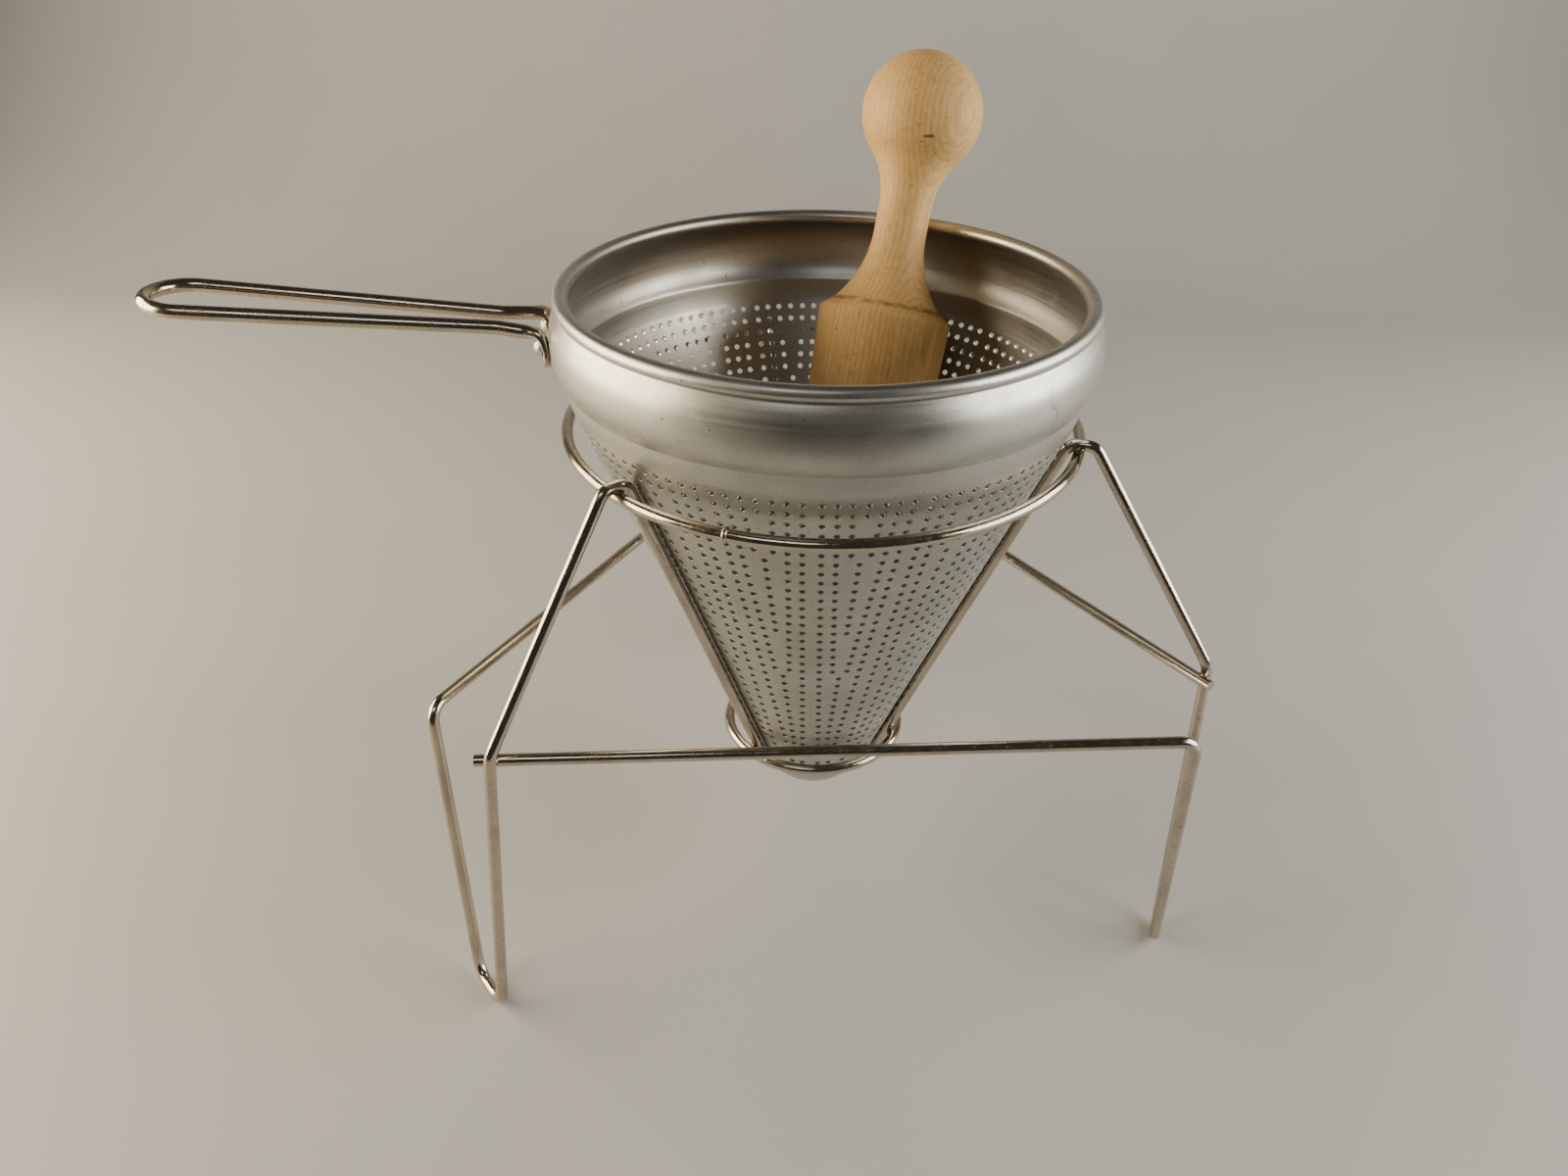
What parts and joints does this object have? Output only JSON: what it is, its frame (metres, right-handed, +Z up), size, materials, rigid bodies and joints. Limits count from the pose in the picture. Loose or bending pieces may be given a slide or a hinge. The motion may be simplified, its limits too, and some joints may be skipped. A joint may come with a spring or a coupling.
{
  "type": "potato ricer",
  "caption": "Cone-shaped perforated metal strainer with a wire loop handle, standing in a welded three-legged wire cradle, with a turned wooden ball-knob pestle inside.",
  "frame": {"origin": "on the cone's axis at table level, in the middle of the three feet", "axes": "+Z up along the cone's axis; the handle points towards -X; the front leg pair and the long strut between them face -Y"},
  "size_m": [0.337, 0.2347, 0.2818],
  "materials": {
    "spun_aluminium": "satin, spun, with fine scratches",
    "handle_wire": "bright plated wire, slightly tarnished",
    "rivet_metal": "plain, dull",
    "stand_wire": "bright plated wire, worn and spotted",
    "pestle_wood": "unvarnished close-grained hardwood, worn smooth"
  },
  "bodies": {
    "stand": {"upper_ring": "stand_wire", "lower_ring": "stand_wire", "leg_front_left": "stand_wire", "leg_right": "stand_wire", "leg_back": "stand_wire"},
    "strainer": {"strainer_bowl": "spun_aluminium", "handle": "handle_wire", "rivet_near": "rivet_metal", "rivet_far": "rivet_metal"},
    "pestle": {"pestle": "pestle_wood"}
  },
  "joints": [
    {"name": "strainer_lift", "type": "slide", "parent": "stand", "child": "strainer", "axis": [0, 0, 1], "range_m": [0, 0.2]},
    {"name": "pestle_sweep", "type": "hinge", "parent": "strainer", "child": "pestle", "pos_m": [0, 0, 0.1], "axis": [0, 0, 1], "continuous": true}
  ]
}
